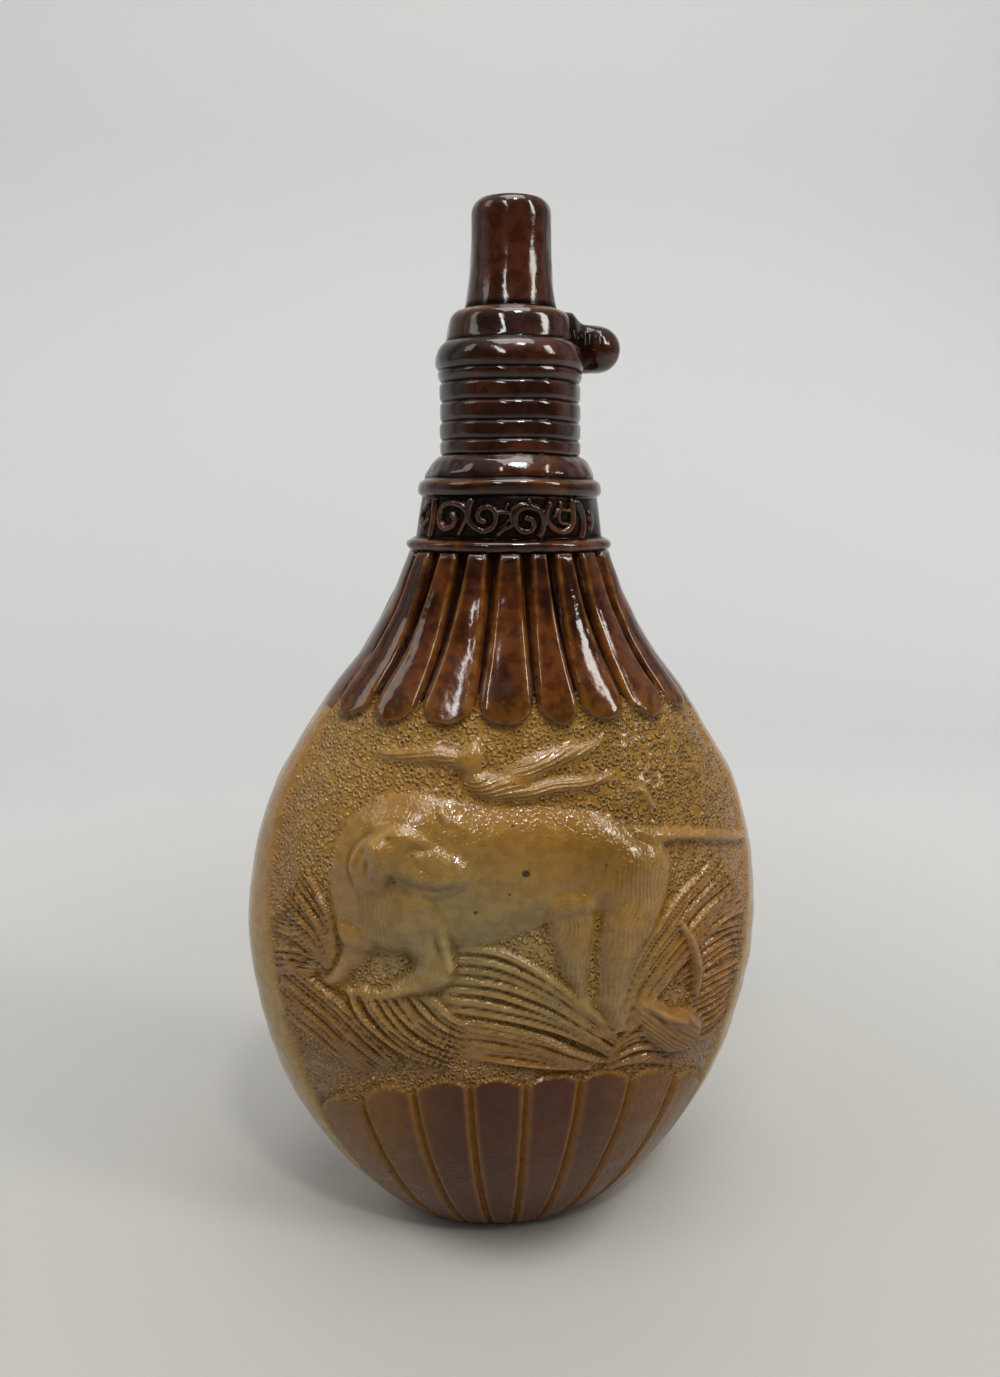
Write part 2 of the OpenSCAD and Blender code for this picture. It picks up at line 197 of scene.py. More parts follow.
def to_segment(x, z, a, b):
    """How far along from a to b each place lies, from 0 to 1, and its gap from there."""
    d = b[:2] - a[:2]
    t = np.clip(((x - a[0]) * d[0] + (z - a[1]) * d[1]) / max(d @ d, 1e-9), 0, 1)
    return t, x - a[0] - d[0] * t, z - a[1] - d[1] * t


class Relief:
    """Height over the sunk field at the places x, z, with the direction of its fur and veins."""

    def __init__(self, x, z):
        self.x, self.z = x, z
        self.high, self.comb, self.combed, self.covered = (np.zeros_like(x) for _ in range(4))

    def within(self, low, top):
        """Which places lie between two corners."""
        return (self.x > low[0]) & (self.x < top[0]) & (self.z > low[1]) & (self.z < top[1])

    def stroke(self, places, comb=0.0, full=2.4, soft=0.62, melt=0.35):
        """Raises a stroke through places (x, z, half width, height). comb is how deep its lines are.

        full and soft shape its section, and melt rounds the corner where it leaves what is there.
        """
        path = curve_through(places)
        reach = path[:, 2].max() + 0.5
        near = self.within(path.min(0) - reach, path.max(0) + reach)
        x, z = self.x[near], self.z[near]
        best = np.full(x.shape, FAR)
        side = np.zeros_like(x)
        high = np.zeros_like(x)
        for a, b in zip(path, path[1:]):
            t, gx, gz = to_segment(x, z, a, b)
            r = mix(a[2], b[2], t)
            u = np.hypot(gx, gz) / r
            closer = u < best
            best = np.where(closer, u, best)
            d = b[:2] - a[:2]
            cross = (gz * d[0] - gx * d[1]) / math.sqrt(max(d @ d, 1e-9))
            side = np.where(closer, cross / r * path[:, 2].mean(), side)
            high = np.where(closer, mix(a[3], b[3], t), high)
        inside = np.clip(1 - np.clip(best, 0, 1) ** full, 0, 1) ** soft
        h = high * inside
        old = self.high[near]
        wins = (h > old - 0.05) & (best < 1)
        self.high[near] = np.where(best < 1, greater(old, h, melt), old)
        self.comb[near] = np.where(wins, side, self.comb[near])
        self.combed[near] = np.where(wins, comb, self.combed[near])
        self.covered[near] = np.maximum(self.covered[near], smooth((1 - best) * 4))

    def mass(self, outline, high, soft, comb=0.0, lean=0.0, ridge=0.0, pitch=2.0, lift=0.55):
        """Raises what lies inside a closed outline to high, rounded over soft, and by lift at least.

        Its fur leans from upright, in ridges pitch apart and lines as deep as comb.
        """
        places = np.array(outline, float)
        ring = curve_through(np.vstack([places[-1:], places, places[:2]]), 5)[5:-5]
        near = self.within(ring.min(0), ring.max(0))
        x, z = self.x[near], self.z[near]
        inside = np.zeros(x.shape, bool)
        gap = np.full(x.shape, FAR)
        for a, b in zip(ring, ring[1:]):
            _, gx, gz = to_segment(x, z, a, b)
            gap = np.minimum(gap, np.hypot(gx, gz))
            d = b - a
            if d[1]:
                inside ^= ((a[1] > z) != (b[1] > z)) & (x < a[0] + (z - a[1]) / d[1] * d[0])
        gap = np.where(inside, gap, 0)
        h = high * smooth(gap / soft) ** 0.5
        turn = math.radians(lean)
        across = x * math.cos(turn) - z * math.sin(turn) + 0.8 * wobble(30, 12, x, z)
        h += ridge * np.sin(2 * math.pi * across / pitch + 1.5 * wobble(31, 7, x, z)) * smooth(gap / 1.5)
        old = self.high[near]
        over = old + lift * smooth(gap / 1.6) ** 0.5
        self.high[near] = np.where(inside, greater(over, h, 0.3), old)
        self.comb[near] = np.where(inside, across, self.comb[near])
        self.combed[near] = np.where(inside, comb * smooth(gap / 1.2), self.combed[near])
        self.covered[near] = np.maximum(self.covered[near], smooth(gap / 0.8))

    def sheaf(self, first, last, count, half, high, comb, seed, root=0.6):
        """Blades of grass, spread between a first and a last one that are drawn from root to tip.

        root is the height of a blade at its root, as a share of its full height.
        """
        rng = np.random.default_rng(seed)
        for k in range(count):
            t = k / (count - 1)
            full = high * rng.uniform(0.8, 1.1)
            places = []
            for i, (p, q) in enumerate(zip(first, last)):
                s = i / (len(first) - 1)
                wide = half * (0.65 + 1.1 * s - 1.35 * s * s)
                x, z = mix(p[0], q[0], t), mix(p[1], q[1], t)
                tall = full * (root + (2.5 - 2 * root) * s - (2.04 - 0.9 * root) * s * s)
                places.append((x + rng.normal(0, 0.22), z + rng.normal(0, 0.22), wide, tall))
            self.stroke(places, comb, full=1.8, soft=0.95, melt=0.15)

    def lay(self, other):
        """Lays another relief over this one."""
        wins = other.high > self.high + 0.05
        self.high = greater(self.high, other.high, 0.2)
        self.comb = np.where(wins, other.comb, self.comb)
        self.combed = np.where(wins, other.combed, self.combed)
        self.covered = np.maximum(self.covered, other.covered)

    def swell(self, x, z, wide, tall, high):
        """A soft swelling, or a hollow where high is negative."""
        gap = ((self.x - x) / wide) ** 2 + ((self.z - z) / tall) ** 2
        self.high += high * np.exp(-gap) * smooth(self.high / 1.5)

    def cut(self, places, deep):
        """Draws a groove through places (x, z), as deep as told."""
        path = curve_through(places)
        half_wide = 0.6
        best = np.full(self.x.shape, FAR)
        for a, b in zip(path, path[1:]):
            _, gx, gz = to_segment(self.x, self.z, a, b)
            best = np.minimum(best, np.hypot(gx, gz))
        self.high -= deep * np.exp(-((best / half_wide) ** 2))

    def spot(self, x, z, radius, high):
        """A round grain, or a pit where high is negative."""
        self.high += high * np.exp(-(((self.x - x) ** 2 + (self.z - z) ** 2) / radius**2))


def draw_dog(r):
    # Far legs
    r.mass([(-29, 79), (-37, 80), (-37, 73.5), (-39, 68.6), (-41, 65.6), (-37.6, 65.4),
            (-34.6, 68.6), (-31, 72.6)], 1.8, 2.4, 0.2)
    r.mass([(3.2, 87), (3.2, 79.8), (4.8, 74), (6.4, 69), (8.8, 64.4), (10.8, 60), (13.6, 58),
            (13.8, 61.4), (12.7, 65), (13, 70), (14, 78), (13, 87)], 1.8, 3.2, 0.45, 8, 0.16, 2)
    # Trunk
    r.mass([(-36.2, 75), (-38.4, 79), (-38.9, 87.5), (-37.6, 94.6), (-34.2, 100.6), (-28.6, 104.6),
            (-21.4, 106.4), (-15.4, 105.2), (-8, 104.2), (0, 103.8), (8, 103), (14.5, 101.6),
            (21, 98), (27, 93.8), (30.2, 90), (30, 85), (27, 80), (20, 78.6), (14.2, 80.8), (8.6, 82),
            (3.5, 79.6), (-3.7, 76.8), (-9.6, 75.4), (-18, 74.6), (-26, 73)], 2.3, 7, 0.05, 20, lift=0.8)
    r.swell(-7, 90, 15, 8, 0.5)
    r.swell(20, 93, 8, 8, 0.8)
    r.swell(-25, 101, 9, 4.5, 0.7)
    # Neck, a smooth band at the outside and long fur inside it
    r.mass([(-33.4, 97), (-34, 89), (-33.4, 82), (-31, 76), (-27, 73.6), (-23.4, 75), (-20, 80),
            (-18, 86), (-20, 92), (-27, 98)], 2.5, 3, 0.45, 4, 0.32, 2.9, 0.35)
    # Near hind leg and the tail
    r.mass([(14.6, 88), (14.6, 79.9), (14.2, 74.2), (14.3, 67), (14, 61.3), (15.8, 56.6), (18.6, 54.4),
            (21.4, 55.4), (21.7, 63), (23.8, 70), (27.8, 77.4), (30, 84), (30.2, 91), (26, 95.6),
            (20.4, 94)], 2.8, 4.6, 0.4, 8, 0.15, 2.3, 0.3)
    r.swell(22.5, 87, 5, 8, 0.4)
    r.mass([(19, 98.8), (26, 97.8), (31, 96.9), (39.7, 94.9), (46, 92.6), (50.8, 90.2), (50, 88.8),
            (45, 89.8), (39.6, 91.4), (31, 93.2), (24, 93.6)], 1.9, 1.8, 0.15, 80, lift=0.3)
    # Near foreleg, lifted and bent, with its paw
    r.mass([(-26, 80.5), (-25, 86), (-21, 88), (-17.2, 82.4), (-15.7, 76), (-14, 71), (-14.4, 68.2),
            (-17.4, 66), (-22.6, 64.4), (-29, 63.4), (-35, 63.8), (-37.4, 65.2), (-33.4, 65.9), (-29.6, 66),
            (-26.2, 68.2), (-22.8, 71.6), (-24.2, 75)], 3, 3.4, 0.15, 6, 0.08, 2.6, 0.8)
    r.stroke([(-17.4, 82, 0.9, 3.5), (-16.3, 76.4, 1, 3.6), (-15.1, 71.4, 0.9, 3.4)], 0, 2, 1, 0.4)
    # Head: skull with muzzle, the ear with its strands, then brow, mouth, nose and eye
    r.mass([(-30, 92), (-30.4, 97), (-28, 99.6), (-23.5, 100.6), (-20, 99), (-17.4, 96.8), (-14.6, 95),
            (-12.4, 94), (-11.2, 91.8), (-11.8, 89.4), (-14, 87.6), (-17.4, 86.4), (-21, 87),
            (-25, 88.8), (-28.4, 89.6)], 3.2, 2.6, 0.03, lift=1.5)
    r.swell(-25, 96.4, 4.6, 3.4, 0.7)
    r.swell(-18, 90.6, 5, 2.4, 0.4)
    r.mass([(-25.6, 93.4), (-26.4, 97), (-29.6, 98.2), (-32.6, 95.4), (-33.8, 91), (-32.8, 87.6),
            (-30.4, 86), (-27.8, 87.6), (-26.2, 90.4)], 3.4, 1.8, 0.3, -6, 0.1, 1.7, 1)
    for k in range(4):
        r.stroke([(-26.6 + 0.4 * k, 98.6 - 0.8 * k, 0.5, 4.4),
                  (-31 + 1.2 * k, 96.2 - 0.9 * k, 0.75, 5),
                  (-33.2 + 1.7 * k, 91.6 - 0.4 * k, 0.8, 4.9),
                  (-32 + 1.6 * k, 86.8 + 0.5 * k, 0.4, 3.8)], 0.2, 2, 1, 0.2)
    r.stroke([(-26, 95.2, 0.9, 4.9), (-23.4, 95.8, 1.1, 5.1), (-20.6, 95, 0.8, 4.8)], 0, 2, 1, 0.5)
    r.cut([(-26, 90.4), (-23, 89.4), (-20.4, 88.6), (-17.2, 88), (-14.6, 88.8)], 1.1)
    r.cut([(-14.6, 93.6), (-14.4, 91.6), (-14, 89.8)], 0.5)
    r.spot(-20.2, 94.4, 1.9, -0.7)
    r.spot(-20.2, 94.4, 1.0, 1.1)
    r.cut([(-23, 95.6), (-21.2, 96.4), (-18.8, 96)], 0.6)
    # Pits of the whiskers, then two short folds over the muzzle
    for x, z in ((-12.3, 91.6), (-13.6, 90.3), (-16, 91.8), (-17.4, 90.4), (-18.8, 91.6), (-21.2, 91)):
        r.spot(x, z, 0.5, -0.55)
    r.stroke([(-16.6, 103, 0.6, 3.6), (-15.2, 100.6, 0.7, 3.9)], 0, 2, 1)
    r.stroke([(-13.6, 101, 0.6, 3.3), (-12.2, 99, 0.6, 3.4)], 0, 2, 1)


def draw_bird(r):
    # Far wing, near wing, body with its tail, and head, then a small ridge beyond the tail
    r.mass([(-9, 113), (-13, 114.6), (-20, 114.8), (-30.4, 113), (-24, 110.8), (-16, 110.6),
            (-11, 109)], 1.3, 2.2, 0.6, 80, 0.1, 1.5)
    r.mass([(-8, 107.6), (-4.7, 110.8), (-0.2, 113), (4.4, 114.4), (11.4, 115.4), (16.4, 115.4),
            (12, 111.6), (4, 108.8), (-2, 106)], 1.6, 2.6, 0.8, 70, 0.16, 1.6)
    r.mass([(-12.6, 108), (-10, 110.8), (-5, 109.4), (0, 108.4), (5.6, 109), (16.5, 109), (17.8, 107.4),
            (12.5, 105.4), (4.2, 104.6), (-2, 103.6), (-9, 104.4)], 1.9, 2.8, 0.7, 82, 0.14, 1.6)
    r.mass([(-8.8, 110), (-7.8, 113.4), (-9.2, 116), (-12, 115.2), (-13, 112.2), (-12.6, 109)], 1.7, 2)
    r.stroke([(22, 105.2, 0.9, 1.1), (24.2, 104.4, 0.9, 1.2), (26.2, 101.2, 0.8, 1.1)], 0, 2, 1)


def draw_grass(r):
    # Fan at the left, then the long blades below it
    r.sheaf([(-38.2, 72.6), (-39, 81), (-44.4, 88.4)],
            [(-39.6, 69), (-45, 73.4), (-52.6, 74.6)], 12, 0.8, 1.9, 0.6, 11)
    r.sheaf([(-40, 69.6), (-46, 71), (-52, 69.6)],
            [(-43, 66.6), (-48, 66), (-52.2, 62.6)], 5, 0.75, 1.4, 0.6, 12)
    r.sheaf([(-47.5, 69), (-37.2, 61.6), (-31, 55), (-25, 49.2)],
            [(-51.4, 56.4), (-44.6, 54), (-39.4, 50.4), (-34, 46)], 13, 0.85, 1.9, 0.5, 13)
    # Clump from the paw
    r.sheaf([(-35, 65.6), (-31.8, 59.4), (-25.4, 53), (-16.5, 48.4)],
            [(-20.4, 66.2), (-17.6, 63.4), (-14.8, 60.4), (-11.6, 58)], 10, 1.05, 2.3, 0.35, 14)
    # Broad blades under the belly, which meet low at the right
    r.sheaf([(-17, 60), (-7, 58.6), (3, 55.4), (11, 51), (17, 48.2)],
            [(-13, 51.6), (-5, 50.8), (1, 49.6), (7, 48.2), (13, 46.8)], 6, 1.15, 2.1, 0.5, 15, 0.05)
    r.sheaf([(-17.6, 74.6), (-7, 74.2), (3, 69.2), (12, 61.6), (19.6, 54.6)],
            [(-19, 62.6), (-8, 61.2), (3, 58), (11, 53.6), (17.6, 49.4)], 7, 1.3, 2.4, 0.4, 16, 0.05)
    # Clump at the right
    r.sheaf([(18.4, 55), (20.6, 65.6), (24.6, 74), (32.6, 82.4), (42, 88.6)],
            [(23.2, 55), (27.8, 62), (35, 69), (44, 74), (52.4, 73)], 13, 1, 2.4, 0.45, 17)
    r.sheaf([(30, 66), (38, 71), (46, 72), (53, 69)],
            [(34, 62), (40, 65), (46, 66), (52.6, 63)], 5, 0.8, 1.6, 0.6, 18)
    r.stroke([(32.2, 76.4, 1, 2.6), (35, 71, 1.5, 3.2), (36.8, 64.6, 1.4, 2.8),
              (37.2, 59.4, 0.8, 1.6)], 0.4, 1.8, 0.9)
    r.sheaf([(36, 61), (44, 62.4), (52.4, 61.4)],
            [(35, 47.4), (42, 47.4), (49, 50.6)], 10, 0.8, 1.5, 0.6, 19)
    # Tussock with roots that fan out under it
    r.mass([(21.6, 61.6), (26.4, 62), (31, 58.4), (36, 56.4), (39.6, 52.4), (38, 47), (33, 45.6),
            (27.6, 48.4), (23.4, 54)], 2.2, 2.4, 0.8, -48, 0.2, 1.8)
    r.stroke([(24, 60.6, 1, 2.8), (28.8, 57, 1.3, 3.5), (33.6, 54.2, 1.3, 3.4)], 0.1, 1.8, 0.9)
    r.sheaf([(17.4, 50), (22, 54.4), (28, 53.4)],
            [(17.6, 46), (25, 46.2), (34, 42.4)], 8, 0.85, 1.6, 0.5, 20)


# The skin of the body: how far each place stands out, and what covers it


def petal_place(fold, seen):
    """Where an angle lies in the row of petals: from 0 to PANELS, unevenly on the front."""
    regular, drift = np.array(PETAL_DRIFT, float).T
    even = np.where(seen, np.interp(fold, regular + drift, regular), fold)
    return (even / PETAL_REACH + 1) / 2 * PANELS


def front_relief(x, z, seen, shape):
    """The figures of the front over the pebbled ground, which the back has alone."""
    relief, animals = (Relief(np.where(seen, x, FAR), z - RELIEF_UP) for _ in range(2))
    draw_grass(relief)
    draw_bird(animals)
    draw_dog(animals)
    animals.high = melted(animals.high.reshape(shape), 1).ravel()
    relief.lay(animals)
    # The lines of fur and blades fade where two directions meet
    comb = relief.comb.reshape(shape)
    jump = np.maximum(np.abs(comb - np.roll(comb, 1, 1)), np.abs(comb - np.roll(comb, -1, 1)))
    for other in (comb[2:], comb[:-2]):
        jump[1:-1] = np.maximum(jump[1:-1], np.abs(comb[1:-1] - other))
    relief.combed *= 1 - smooth(melted(smooth((jump - 0.8) / 0.3), 1).ravel() * 3)
    # Pebbles, coarser at the upper right and at the lower left
    coarse = smooth((30 - np.hypot((x - 30) / 1.1, z - 108)) / 14) * seen
    low_left = smooth((9 - np.hypot(x + 30, (z - 70) * 1.2)) / 4) * seen
    near = grains(x + 200, z + 200, PEBBLE_PITCH, 41)
    ring = np.exp(-(((near - 0.38) / 0.16) ** 2)) - 0.6 * np.exp(-((near / 0.18) ** 2))
    relief.high += (0.05 + 0.16 * coarse + 0.12 * low_left) * ring * (1 - 0.75 * relief.covered)
    return relief


def body_skin(a, z, seen, shape):
    """Outward move and cover of the body at angles a, heights z. seen tells which are on the front."""
    fold = np.degrees(np.arctan2(np.sin(a), np.abs(np.cos(a))))
    w, d = half_w(z), half_d(z)
    x = w * np.sin(a)
    step_mm = np.radians(1) * np.hypot(w * np.cos(a), d * np.sin(a))
    shake = 0.35 * wobble(3, 14, x, z, seen * 40)
    # Petals
    place = petal_place(fold, seen)
    edge = np.abs(2 * (place - np.floor(place)) - 1)
    on_face = smooth((PETAL_REACH - np.abs(fold)) * step_mm / 1.2 + 0.5)
    petal_half = math.radians(PETAL_REACH / PANELS) * half_w(PETAL_Z)
    tip = PETAL_Z + petal_half * (1 - np.sqrt(np.clip(1 - edge**2, 0, 1))) * on_face + shake
    petal = smooth((z - tip) / 1.3 + 0.4)
    rise = np.clip((z - PETAL_Z) / (BODY_H - PETAL_Z), 0, 1)
    crown = np.clip(1 - edge**2.6, 0, 1) ** mix(0.5, 0.62, rise)
    petal_out = mix(-FIELD_IN, mix(PETAL_OUT, 0.75 * PETAL_OUT, rise), crown)
    petal_out = petal_out - mix(0.25, 1.5, rise**1.5) * smooth((edge - mix(0.86, 0.5, rise**1.5)) / 0.3)
    rim = np.exp(-(((edge - mix(0.78, 0.5, rise)) / 0.12) ** 2))
    petal_out = petal_out + 0.12 * rim - 0.1 * (1 - edge**2)
    # Flutes
    reach = np.degrees(np.arcsin(FLUTE_REACH))
    across = np.sin(np.radians(fold)) / FLUTE_REACH
    column = (across + 1) / 2 * PANELS
    bend = np.abs(2 * (column - np.floor(column)) - 1)
    inside = smooth((reach - np.abs(fold)) * step_mm / 1.2 + 0.5)
    top = (FLUTE_Z - FLUTE_FALL * np.abs(np.sin(np.radians(fold))) ** 3
           - 0.05 * FLUTE_Z * bend**2 * inside + shake)
    flute = smooth((top - z) / 1.1 + 0.5)
    width = 2 * FLUTE_REACH * w / PANELS
    from_edge = (1 - bend) * width / 2
    flute_out = (FLUTE_OUT + 0.16 * np.exp(-(((from_edge - 1.1) / 0.42) ** 2))
                 - (FLUTE_OUT + FIELD_IN) * np.exp(-((from_edge / 0.55) ** 2)))
    flute_out = np.maximum(flute_out, -FIELD_IN)
    # Field between them
    share = np.clip((z - top) / np.maximum(tip - top, 1), 0, 1)
    limit = mix(reach, PETAL_REACH, smooth(share))
    field = smooth((limit - np.abs(fold)) * step_mm / 3.4 + 0.5)
    relief = front_relief(x, z, seen, shape)
    inner = -FIELD_IN * field + relief.high * field
    out = mix(inner, petal_out * on_face, petal)
    out = mix(out, flute_out * inside, flute)
    out = out + 0.12 * wobble(5, 9, x, z, seen * 30) + 0.2 * wobble(6, 26, x, z, seen * 30)
    plain = (1 - petal) * (1 - flute)
    petals, flutes = petal * on_face, flute * inside
    cover = {
        "dark": smooth((z - tip + 1.2 * wobble(8, 5, x, z) * (1 - on_face)) / 1.6 + 0.6),
        "ground": plain * field * (1 - relief.covered),
        "comb": relief.comb,
        "combed": relief.combed * plain * field * relief.covered,
        "flute": flutes,
        "channel": np.maximum(flutes * np.exp(-((from_edge / 1.5) ** 2)), petals * rim),
        "strip": np.clip(1 - np.maximum(field * plain, np.maximum(petals, flutes)), 0, 1),
    }
    return out, cover


# Neck


def share_of_round(z):
    """Depth of the neck as a share of its width: oval at the throat, and round from the barrel up."""
    return mix(THROAT_D / THROAT_W, 1, smooth((z - BODY_H) / (Z_BARREL - 1 - BODY_H)))


def neck_outline():
    """Half width of the neck against height, in rows close enough to keep its rings."""
    rows = []

    def band(z0, z1, w0, w1, out, n, power=2.0):
        """Rows from z0 to z1. They swell by out between the ends, the squarer the greater power is."""
        for i in range(n + 1):
            t = 0.5 - 0.5 * math.cos(math.pi * i / n)
            rows.append((mix(z0, z1, t), mix(w0, w1, t) + out * (1 - abs(2 * t - 1) ** power) ** 0.6))

    inner = THROAT_W / 2 - FIELD_IN
    scroll_rows, collar_rows, spout_rows, lip_rows = 29, 12, 13, 7
    band(BODY_H, Z_SCROLL, inner, inner, (BEAD_W - THROAT_W) / 2 + FIELD_IN, 9)
    for z in np.linspace(Z_SCROLL + 0.3, Z_ROLL - 0.2, scroll_rows):
        t = (z - Z_SCROLL) / (Z_ROLL - Z_SCROLL)
        rows.append((z, mix(inner - 0.6, ROLL_W / 2 - SCROLL_OUT - 0.2, t)))
    band(Z_ROLL, Z_FLARE - 0.1, ROLL_W / 2 - 0.9, ROLL_W / 2 - 1.5, 1.0, 9, 3)
    band(Z_FLARE + 0.2, Z_BARREL - 0.3, ROLL_W / 2 - 2, BARREL_D / 2 + 0.5, 0.55, 9, 3)
    groove = BARREL_D / 2 - RIDGE_IN
    for low, high in zip(RIDGE_ENDS, RIDGE_ENDS[1:]):
        band(low + 0.1, high - 0.1, groove + 0.05, groove + 0.1, RIDGE_IN, 9, 7)
    band(RIDGE_ENDS[-1] + 0.1, Z_SWELL + 1.5, groove + 0.2, groove + 0.7, 0.45, 7)
    band(Z_SWELL + 1.7, Z_COLLAR - 0.2, SWELL_D / 2 - 1, COLLAR_D / 2 + 0.1, 1.25, 13, 2.2)
    for i in range(collar_rows):
        t = i / (collar_rows - 1)
        shoulder = 1 - (1 - max(0.0, (t - 0.62) / 0.38) ** 2.2) ** 0.5
        rows.append((mix(Z_COLLAR + 0.1, Z_NOZZLE - 0.4, t), COLLAR_D / 2 - 1.3 * t - 2.4 * shoulder))
    top = HEIGHT - 1.5 * RIM_R
    for i in range(spout_rows):
        t = i / (spout_rows - 1)
        rows.append((mix(Z_NOZZLE - 0.2, top, t), mix(NOZZLE_D, RIM_D, 1 - (1 - t) ** 3) / 2))
    for i in range(1, lip_rows + 1):
        g = math.radians(90 * i / lip_rows)
        rows.append((top + 1.5 * RIM_R * math.sin(g), RIM_D / 2 - RIM_R * (1 - math.cos(g))))
    return rows


def soften(rows, reach):
    """The outline with its corners melted, as a thick glaze does. Its two ends stay."""
    z, w = np.array(rows).T
    share = np.gradient(z)
    out = []
    for at in z:
        k = share * np.exp(-(((z - at) / reach) ** 2))
        out.append((at, (k * w).sum() / k.sum()))
    out[0], out[-1] = rows[0], rows[-1]
    return out


def draw_scrolls(r, start):
    """A band of leafy scrolls, drawn on a sheet 1900 wide as seen from in front, with v downwards."""
    top = (Z_SCROLL + Z_ROLL) / 2 + 5.3
    sheet_mid, sheet_half, step = 858, 1040, 0.0172

    def line(places, half=0.74, high=1.05):
        path = []
        for u, v in places:
            turn = 0.95 * math.asin((u - sheet_mid) / sheet_half) - 0.15
            path.append((start + turn * THROAT_W / 2, top - step * v, half, high))
        r.stroke(path, 0, 3, 0.6, 0.15)

    # Plain bar and comma at the left end
    line([(10, 120), (20, 300), (10, 500)], 0.9, 0.8)
    line([(-70, 160), (-120, 260), (-90, 400), (-50, 340)], 0.5, 0.7)
    # First spiral and the stem that it shares with the second
    line([(248, 262), (288, 320), (262, 400), (185, 425), (118, 375), (98, 260), (140, 165), (240, 135),
          (345, 165), (405, 215), (440, 110)])
    line([(418, 240), (408, 330), (378, 410), (352, 480)], 0.55)
    # Second spiral, open at its upper left
    line([(448, 120), (432, 250), (455, 345), (530, 415), (620, 448), (705, 412), (745, 320), (728, 232),
          (650, 178), (572, 196), (540, 262), (562, 322), (610, 338)])
    line([(748, 236), (810, 236), (872, 244)], 0.4, 0.8)
    line([(862, 236), (848, 190), (866, 150)], 0.3, 0.6)
    # Leaf low between it and the great spiral
    line([(786, 486), (838, 436), (908, 400), (950, 350)], 0.5)
    line([(800, 410), (850, 370), (880, 330)], 0.25, 0.6)
    # Great spiral with a spiky leaf over it
    line([(1088, 300), (1142, 322), (1166, 386), (1122, 448), (1048, 450), (986, 400), (962, 310),
          (985, 225), (1062, 182), (1160, 186), (1232, 228), (1268, 310), (1268, 410), (1238, 490)])
    line([(918, 330), (908, 250), (930, 190), (1000, 150), (1070, 150)], 0.45, 0.85)
    line([(1090, 180), (1112, 130), (1102, 70)], 0.4, 0.85)
    line([(1112, 110), (1150, 165), (1210, 214), (1290, 214), (1332, 130)], 0.35, 0.8)
    # Hanging scroll
    line([(1336, 140), (1300, 240), (1318, 335), (1380, 415), (1465, 456), (1548, 432), (1592, 350),
          (1600, 240), (1598, 120)])
    line([(1398, 275), (1432, 215), (1500, 205), (1568, 215), (1604, 170)], 0.4, 0.8)
    line([(1468, 130), (1460, 200), (1446, 280), (1470, 352), (1530, 370)], 0.4, 0.8)
    # Lens and boss at the right end
    line([(1662, 140), (1700, 240), (1712, 350), (1700, 450), (1682, 530)], 0.85, 0.9)
    line([(1790, 280), (1802, 340), (1790, 400)], 1.3, 0.7)


def scroll_relief(way, z):
    """Height of the scrolls on both faces, at places round the band and up it."""
    r = Relief(way, z)
    draw_scrolls(r, 0)
    draw_scrolls(r, math.pi * THROAT_W / 2)
    return r.high


# Mesh


class Mesh:
    """Stacks of rings joined to one skin, with a value of each cover at every point."""

    COVERS = ("dark", "ground", "comb", "combed", "flute", "channel", "strip", "cavity")

    def __init__(self):
        self.points, self.faces, self.count = [], [], 0
        self.covers = {c: [] for c in self.COVERS}
        self.last = None

    def ring(self, x, y, z, covers):
        """Adds a ring and joins it to the last one. The first ring of a stack is closed below."""
        n = len(x)
        self.points.append(np.column_stack([x, y, np.broadcast_to(z, n)]) * MM)
        for c in self.COVERS:
            self.covers[c].append(np.broadcast_to(np.asarray(covers.get(c, 0.0), float), n))
        ring = np.arange(self.count, self.count + n)
        self.count += n
        if self.last is None:
            self.faces.append(ring[::-1].tolist())
        else:
            self.join(self.last, ring)
        self.last = ring

    def close(self):
        """Closes the stack over its last ring."""
        self.faces.append(self.last.tolist())
        self.last = None

    def join(self, low, high):
        """Faces between two rings, low to high, seen from outside."""
        if len(low) == len(high):
            a, b = np.roll(low, -1), np.roll(high, -1)
            self.faces.extend(np.column_stack([low, a, b, high]).tolist())
            return
        p = np.vstack(self.points)

        def angles(ring):
            turn = np.unwrap(np.arctan2(p[ring, 0], -p[ring, 1]))
            return np.append(turn, turn[0] + 2 * math.pi)

        al, ah = angles(low), angles(high)
        i = j = 0
        n, m = len(low), len(high)
        while i < n or j < m:
            if j >= m or (i < n and al[i + 1] <= ah[j + 1]):
                self.faces.append([int(low[i]), int(low[(i + 1) % n]), int(high[j % m])])
                i += 1
            else:
                self.faces.append([int(low[i % n]), int(high[(j + 1) % m]), int(high[j])])
                j += 1

    def build(self, name, material):
        mesh = bpy.data.meshes.new(name)
        mesh.from_pydata(np.vstack(self.points).tolist(), [], self.faces)
        for c, values in self.covers.items():
            layer = mesh.attributes.new(c, "FLOAT", "POINT")
            layer.data.foreach_set("value", np.concatenate(values).astype(np.float32))
        mesh.shade_smooth()
        mesh.materials.append(material)
        return add(name, mesh)


def add(name, data):
    """A new object in the scene."""
    obj = bpy.data.objects.new(name, data)
    bpy.context.scene.collection.objects.link(obj)
    return obj


def hollowness(out, times):
    """How much deeper each place of a grid lies than what is around it, in millimetres."""
    return melted(out, times) - out


def around(count):
    return np.linspace(0, 2 * math.pi, count + 1)[:-1]


